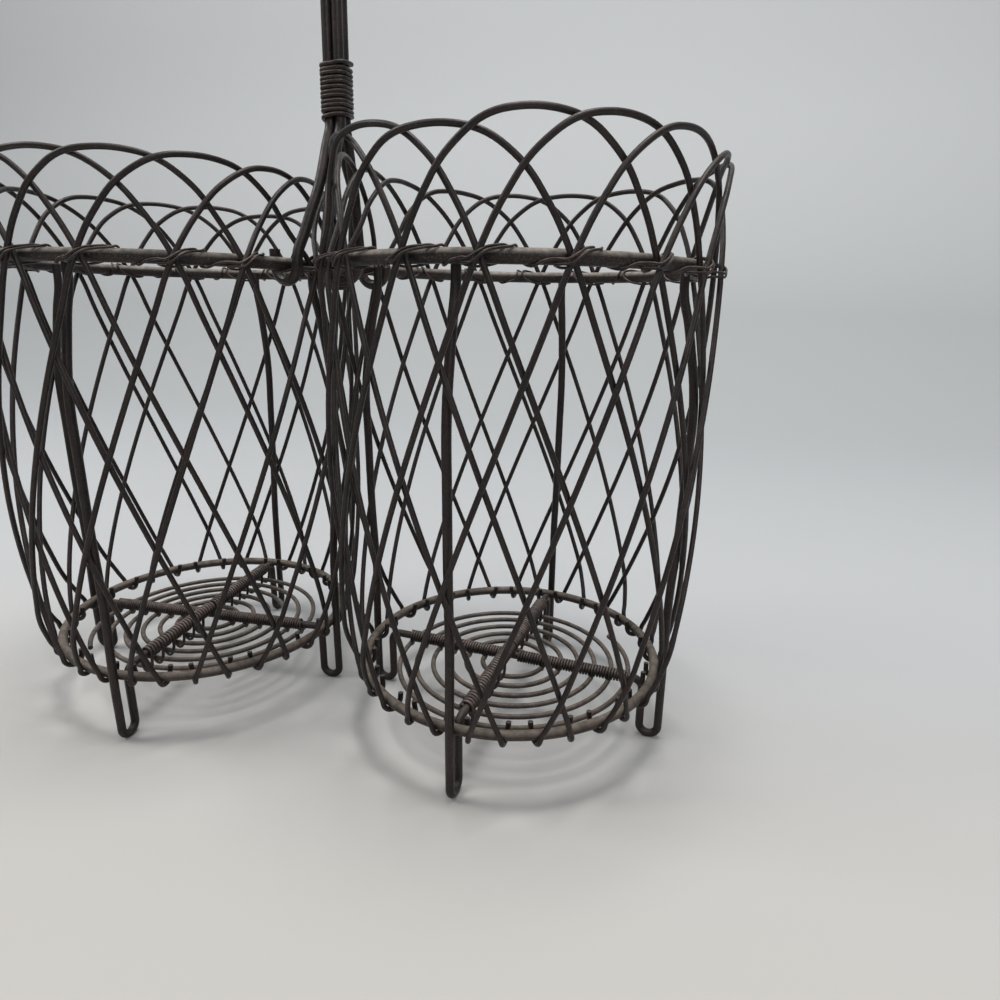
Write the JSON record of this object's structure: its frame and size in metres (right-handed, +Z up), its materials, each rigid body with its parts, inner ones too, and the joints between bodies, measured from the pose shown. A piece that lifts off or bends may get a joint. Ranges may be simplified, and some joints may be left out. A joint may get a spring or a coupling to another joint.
{
  "type": "wire bottle caddy",
  "caption": "Double wire bottle caddy: round baskets of crossed iron wires with arched rims, side by side, under a tall bound wire handle that ends in a hand loop.",
  "frame": {"origin": "on the ground, midway between the two baskets", "axes": "+X from the left basket to the right one, +Y from the front to the back, +Z up"},
  "size_m": [0.2165, 0.1099, 0.35],
  "materials": {
    "iron_wire": "dark brown patina, satin",
    "binding_wire": "dark brown patina, satin"
  },
  "bodies": {
    "root": {"front_handle_wire": "iron_wire", "hoop_tie": "binding_wire", "left_base_ring": "iron_wire", "left_crossbar_tie_1": "binding_wire", "left_crossbar_tie_2": "binding_wire", "left_crossbar_tie_3": "binding_wire", "left_crossbar_tie_4": "binding_wire", "left_floor_spiral": "iron_wire", "left_front_frame": "iron_wire", "left_hoop": "iron_wire", "left_hoop_binding": "binding_wire", "left_lattice_wire_01": "iron_wire", "left_lattice_wire_02": "iron_wire", "left_lattice_wire_03": "iron_wire", "left_lattice_wire_04": "iron_wire", "left_lattice_wire_05": "iron_wire", "left_lattice_wire_06": "iron_wire", "left_lattice_wire_07": "iron_wire", "left_lattice_wire_08": "iron_wire", "left_lattice_wire_09": "iron_wire", "left_lattice_wire_10": "iron_wire", "left_lattice_wire_11": "iron_wire", "left_lattice_wire_12": "iron_wire", "left_lattice_wire_13": "iron_wire", "left_lattice_wire_14": "iron_wire", "left_lattice_wire_15": "iron_wire", "left_lattice_wire_16": "iron_wire", "left_side_frame": "iron_wire", "lower_neck_binding": "binding_wire", "rear_handle_wire": "iron_wire", "right_base_ring": "iron_wire", "right_crossbar_tie_1": "binding_wire", "right_crossbar_tie_2": "binding_wire", "right_crossbar_tie_3": "binding_wire", "right_crossbar_tie_4": "binding_wire", "right_floor_spiral": "iron_wire", "right_front_frame": "iron_wire", "right_hoop": "iron_wire", "right_hoop_binding": "binding_wire", "right_lattice_wire_01": "iron_wire", "right_lattice_wire_02": "iron_wire", "right_lattice_wire_03": "iron_wire", "right_lattice_wire_04": "iron_wire", "right_lattice_wire_05": "iron_wire", "right_lattice_wire_06": "iron_wire", "right_lattice_wire_07": "iron_wire", "right_lattice_wire_08": "iron_wire", "right_lattice_wire_09": "iron_wire", "right_lattice_wire_10": "iron_wire", "right_lattice_wire_11": "iron_wire", "right_lattice_wire_12": "iron_wire", "right_lattice_wire_13": "iron_wire", "right_lattice_wire_14": "iron_wire", "right_lattice_wire_15": "iron_wire", "right_lattice_wire_16": "iron_wire", "right_side_frame": "iron_wire", "upper_neck_binding": "binding_wire"}
  },
  "joints": []
}
